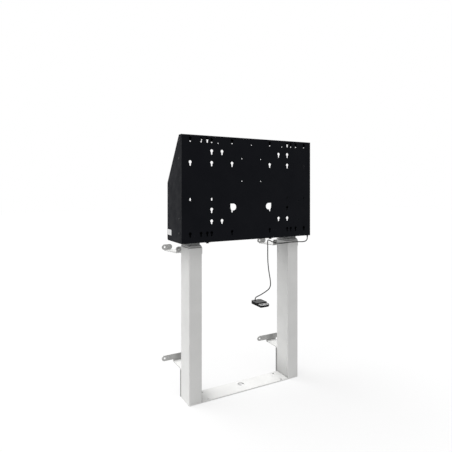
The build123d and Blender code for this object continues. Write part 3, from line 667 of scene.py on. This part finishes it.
def slab(name, outline, thickness, place, across, upwards, body, slot):
    # an outline raised from its plane
    across, upwards = Vector(across), Vector(upwards)
    rise = across.cross(upwards)
    flat = [Vector(place) + across * x + upwards * y for x, y in outline]
    points = flat + [point + rise * thickness for point in flat]
    count = len(flat)
    faces = [tuple(reversed(range(count))), tuple(range(count, 2 * count))]
    for here in range(count):
        beside = (here + 1) % count
        faces.append((here, beside, beside + count, here + count))
    return addPiece(name, points, faces, body, slot)


def roundedOutline(width, height, radius):
    steps = meshSetup["cornerSteps"]
    outline = []
    for quarter, (right, up) in enumerate(((1, 1), (-1, 1), (-1, -1), (1, -1))):
        centreX, centreY = right * (width / 2 - radius), up * (height / 2 - radius)
        for step in range(steps + 1):
            angle = (quarter + step / steps) * pi / 2
            outline.append((centreX + radius * cos(angle), centreY + radius * sin(angle)))
    return outline


def fourAround(centre, across, upwards):
    # the corners of a rectangle from its middle and its two half sides
    ends = (-1, 1)
    return [centre + Vector(across) * right + Vector(upwards) * up for right in ends for up in ends]


# Screw heads: a domed rim round a hexagon socket, on top of each plain head
screwHeads = {
    "bracket": {"radius": 5.3, "height": 1.1, "socket": 2.9},
    "cheek": {"radius": 3.0, "height": 0.5, "socket": 1.5},
    "lid": {"radius": 3.2, "height": 1.4, "socket": 1.3},
    "cap": {"radius": 2.9, "height": 2.6, "socket": 1.5},
}
domeShape = {
    "sunk": 0.1,
    "rim": ((1, 0.3), (0.93, 0.72), (0.8, 0.97)),  # shares of radius and height
    "flat": 0.25,  # share of the rim's width that is flat
    "sides": 6,
    "taper": 0.94,
    "floor": 0.12,  # share of the height
}


def domeRings(head):
    radius, height, socket = head["radius"], head["height"], head["socket"]
    sides, taper = domeShape["sides"], domeShape["taper"]
    rings = [(radius, -domeShape["sunk"])]
    rings += [(across * radius, up * height) for across, up in domeShape["rim"]]
    rings.append((socket + domeShape["flat"] * (radius - socket), height))
    rings.append((socket, height, sides))
    rings.append((taper * socket, domeShape["floor"] * height, sides))
    return rings


def addScrewHeads():
    halfway = middleOf(nodeBox("right_outer_column")).z
    places = []
    for box in solidBoxes("bracket_screws"):
        way = toFront if middleOf(box).z > halfway else toWall  # the lower heads face the wall
        places.append((faceCentre(box, way), way))
    turnedSet("bracketScrewHeads", domeRings(screwHeads["bracket"]), places, "frame", "bright_steel")
    places = []
    for box in solidBoxes("cheek_screws"):
        way = (1, 0, 0) if box[0][0] > 0 else (-1, 0, 0)
        places.append((faceCentre(box, way), way))
    turnedSet("cheekScrewHeads", domeRings(screwHeads["cheek"]), places, "carriage", "motor_black")


addScrewHeads()
print("screw heads added")

# Ribs round the motor bodies, on one sleeve for each motor
motorRibs = {
    "bodyRadius": 21,
    "count": 9,
    "pitch": 8,
    "start": 14,  # from the gearbox
    "width": 5.6,
    "slope": 0.6,
    "depth": 0.9,
    "sunk": 0.3,
    "sleeveBefore": 1,
    "sleeveAfter": 7,  # from the last rib's start
}


def ribRings():
    looks = motorRibs
    radius, slope, width = looks["bodyRadius"], looks["slope"], looks["width"]
    top, inside = radius + looks["depth"], radius - looks["sunk"]
    starts = [looks["start"] + rib * looks["pitch"] for rib in range(looks["count"])]
    rings = [(inside, starts[0] - looks["sleeveBefore"])]
    for start in starts:
        rings += [(radius, start), (top, start + slope)]
        rings += [(top, start + width - slope), (radius, start + width)]
    rings.append((inside, starts[-1] + looks["sleeveAfter"]))
    return rings


# Drives: screws in the motors' flanges and tails and in the gearbox covers, which have a boss
driveLooks = {
    "flange": 5,  # from the gearbox
    "flangeScrews": 18.2,
    "tail": 96,
    "tailScrews": 14.5,
    "coverScrews": (17, 31),
    "boss": ((14, -0.1), (14, 1.4), (13.4, 2), (10.5, 2), (10, 1.5), (4.2, 1.5), (3.8, 1.1), (0.6, 1.1)),
}


def addDrives():
    looks = driveLooks
    reach, (reachX, reachY) = looks["flangeScrews"], looks["coverScrews"]
    motors, covers, screws = [], [], []
    for side, word in ((-1, "left"), (1, "right")):
        inwards = (-side, 0, 0)
        motor = faceCentre(nodeBox(word + "_motor"), (side, 0, 0))
        cover = faceCentre(nodeBox(word + "_gearbox"), toTop)
        flange = motor + Vector(inwards) * looks["flange"]
        tail = motor + Vector(inwards) * looks["tail"]
        motors.append((motor, inwards))
        covers.append((cover, toTop))
        screws += [(spot, inwards) for spot in fourAround(flange, (0, reach, 0), (0, 0, reach))]
        screws += [(spot, toTop) for spot in fourAround(cover, (reachX, 0, 0), (0, reachY, 0))]
        screws += [(tail + Vector(toWall) * end * looks["tailScrews"], inwards) for end in (-1, 1)]
    turnedSet("motorRibs", ribRings(), motors, "carriage", "motor_black", meshSetup["roundSides"])
    turnedSet("driveScrews", domeRings(screwHeads["cap"]), screws, "carriage", "bright_steel")
    turnedSet("gearboxBosses", looks["boss"], covers, "carriage", "gearbox_grey", meshSetup["roundSides"])


addDrives()
print("drives detailed")

lidScrews = {"acrossReach": 53, "upReach": 43}  # from the middle of the control box's lid


def addLidScrews():
    middle = faceCentre(nodeBox("control_lid"), toWall)
    spots = fourAround(middle, (lidScrews["acrossReach"], 0, 0), (0, 0, lidScrews["upReach"]))
    places = [(spot, toWall) for spot in spots]
    turnedSet("lidScrewHeads", domeRings(screwHeads["lid"]), places, "carriage", "bright_steel")


# The plate without words on the left cheek
barePlate = {
    "outline": {"width": 46, "height": 24.5, "radius": 1.5},
    "thickness": 0.5,
    "forward": 27,  # from the cheek's rear edge
    "up": 36.75,  # from its lower edge
}


def addBarePlate():
    looks = barePlate
    xSpan, ySpan, zSpan = nodeBox("left_cheek")
    place = (xSpan[0], ySpan[1] - looks["forward"], zSpan[0] + looks["up"])
    outline = roundedOutline(**looks["outline"])
    slab("barePlate", outline, looks["thickness"], place, toFront, toTop, "carriage", "white_plastic")


# Arrows on the handset's two keys
keyArrows = {
    "keypad": (97, -66.5, 379.5),  # the middle of its slope
    "rise": 2,
    "run": 33,
    "spacing": 24,
    "back": 1,
    "keyHeight": 1.3,
    "halfWidth": 2.7,
    "height": 3.4,
    "thickness": 0.15,
}


def addArrows():
    looks = keyArrows
    across = Vector((1, 0, 0))
    upSlope = Vector((0, looks["run"], looks["rise"])).normalized()
    middle = Vector(looks["keypad"]) + across.cross(upSlope) * looks["keyHeight"] - upSlope * looks["back"]
    for name, side in (("up", -1), ("down", 1)):
        tip = -side * looks["height"] / 2
        outline = [(-looks["halfWidth"], -tip), (looks["halfWidth"], -tip), (0, tip)]
        if side > 0:
            outline.reverse()
        place = middle + across * side * looks["spacing"] / 2
        body = name + "_key"
        slab(name + "Arrow", outline, looks["thickness"], place, across, upSlope, body, "handset_black")


addLidScrews()
addBarePlate()
addArrows()
print("trim added")

# Handset cable: limp, from the grommet to the handset
handsetCable = {
    "diameter": 4.8 * mm,
    "length": 0.594,
    "roundness": 5,  # of its section
    "smoothness": 10,  # steps from point to point
    "route": (
        (328, -103.5, 689),
        (328, -103.5, 677),
        (318.5, -102, 668.5),
        (302, -100, 666),
        (272, -97, 668.2),
        (228, -95, 668.6),
        (184, -93, 665.8),
        (158, -89, 667),
        (144, -79, 671),
        (139, -62, 675.5),
        (141, -42, 678.5),
        (146.5, -26, 675),
        (149.5, -21.5, 660),
        (150.2, -21, 638),
        (149.6, -21.5, 604),
        (150.4, -22, 562),
        (157, -21.6, 517),
        (165.5, -21.2, 477),
        (167.7, -20.5, 453.7),
        (161.6, -19, 436.3),
        (145.7, -17, 425.3),
        (120.2, -14.5, 413),
        (106, -12.9, 407.4),
        (90.4, -11, 402.3),
        (86.2, -10.4, 398.2),
        (84, -10.2, 392.8),
        (84, -10.2, 387),
    ),
}


def layCable():
    data = bpy.data.curves.new("handsetCable", "CURVE")
    data.dimensions = "3D"
    data.bevel_depth = handsetCable["diameter"] / 2
    data.bevel_resolution = handsetCable["roundness"]
    data.resolution_u = handsetCable["smoothness"]
    data.use_fill_caps = True
    route = handsetCable["route"]
    spline = data.splines.new("NURBS")
    spline.points.add(len(route) - 1)
    for point, (x, y, z) in zip(spline.points, route):
        point.co = (x * mm, y * mm, z * mm, 1)
    spline.order_u = 3
    spline.use_endpoint_u = True
    cable = bpy.data.objects.new("handsetCable", data)
    bpy.context.scene.collection.objects.link(cable)
    data.materials.append(finishes["cable_rubber"])
    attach(cable, "carriage")
    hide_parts("handset_cable")


layCable()
print("cable laid")

# Plain white room with soft lamps above, on the left and behind
room = {
    "ambient": 0.55,
    "floorSize": 30,
    "floorDrop": 0.0004,
    "floorLevel": 0.42,
    "floorShown": 0.2,
    "floorGlow": 0.74,
    "holeShadeSpot": (-0.008, -0.0169),  # painted shade on the floor under the base plate's cable hole
    "spotSpan": (0.001, 0.02),
    "spotShades": (0.15, 1),
    "lamps": {
        # name: strength, spread in degrees, height above the horizon, bearing from +X towards +Y
        "topLamp": (0.35, 50, 72, 200),
        "leftLamp": (0.13, 40, 25, 190),
        "rearLamp": (0.51, 36, 60, 132),
    },
}


def seenDirectly(start):
    # 1 for rays from the camera and for those that gloss and glass send out
    path = start.add("ShaderNodeLightPath").socket.node
    kinds = ("Is Camera Ray", "Is Glossy Ray", "Is Transmission Ray")
    camera, glossy, through = [Wire(start.tree, path.outputs[kind]) for kind in kinds]
    return (camera + glossy + through).mapped(0, 1)


def buildWorld():
    world = bpy.data.worlds.new("room")
    bpy.context.scene.world = world
    world.use_nodes = True
    background = world.node_tree.nodes["Background"]
    background.inputs["Color"].default_value = grey(1)
    strength = room["ambient"] + (1 - room["ambient"]) * seenDirectly(Wire(world.node_tree))
    world.node_tree.links.new(strength.socket, background.inputs["Strength"])


def floorFinish():
    # matt, glowing white where it is seen directly, with painted shade under the cable hole
    material = bpy.data.materials.new("floor")
    material.use_nodes = True
    tree = material.node_tree
    tree.nodes.remove(tree.nodes["Principled BSDF"])
    start = Wire(tree)
    shown = seenDirectly(start)
    colour = shown.blended(grey(room["floorLevel"]), grey(room["floorShown"]))
    matt = start.add("ShaderNodeBsdfDiffuse", None, {"Color": colour})
    points = {0: start.add("ShaderNodeTexCoord", out="Object"), 1: (*room["holeShadeSpot"], -room["floorDrop"])}
    reach = start.add("ShaderNodeVectorMath", {"operation": "DISTANCE"}, points, "Value")
    spot = reach.mapped(*room["spotSpan"], *room["spotShades"])
    glow = start.add("ShaderNodeEmission", None, {"Strength": shown * spot * room["floorGlow"]})
    both = start.add("ShaderNodeAddShader", None, {0: matt, 1: glow})
    tree.links.new(both.socket, tree.nodes["Material Output"].inputs["Surface"])
    return material


def layFloor():
    half = room["floorSize"] / 2
    mesh = bpy.data.meshes.new("floor")
    corners = [(x * half, y * half, -room["floorDrop"]) for x, y in ((-1, -1), (1, -1), (1, 1), (-1, 1))]
    mesh.from_pydata(corners, [], [(0, 1, 2, 3)])
    mesh.materials.append(floorFinish())
    floor = bpy.data.objects.new("floor", mesh)
    bpy.context.scene.collection.objects.link(floor)


def hangLamps():
    for name, (strength, spread, height, bearing) in room["lamps"].items():
        data = bpy.data.lights.new(name, "SUN")
        data.energy = strength * pi  # a sun of strength pi lights a facing white surface to 1
        data.angle = radians(spread)
        lamp = bpy.data.objects.new(name, data)
        up, turn = radians(height), radians(bearing)
        towards = Vector((cos(up) * cos(turn), cos(up) * sin(turn), sin(up)))
        lamp.rotation_euler = towards.to_track_quat("Z", "Y").to_euler()
        bpy.context.scene.collection.objects.link(lamp)


buildWorld()
layFloor()
hangLamps()
print("room built")
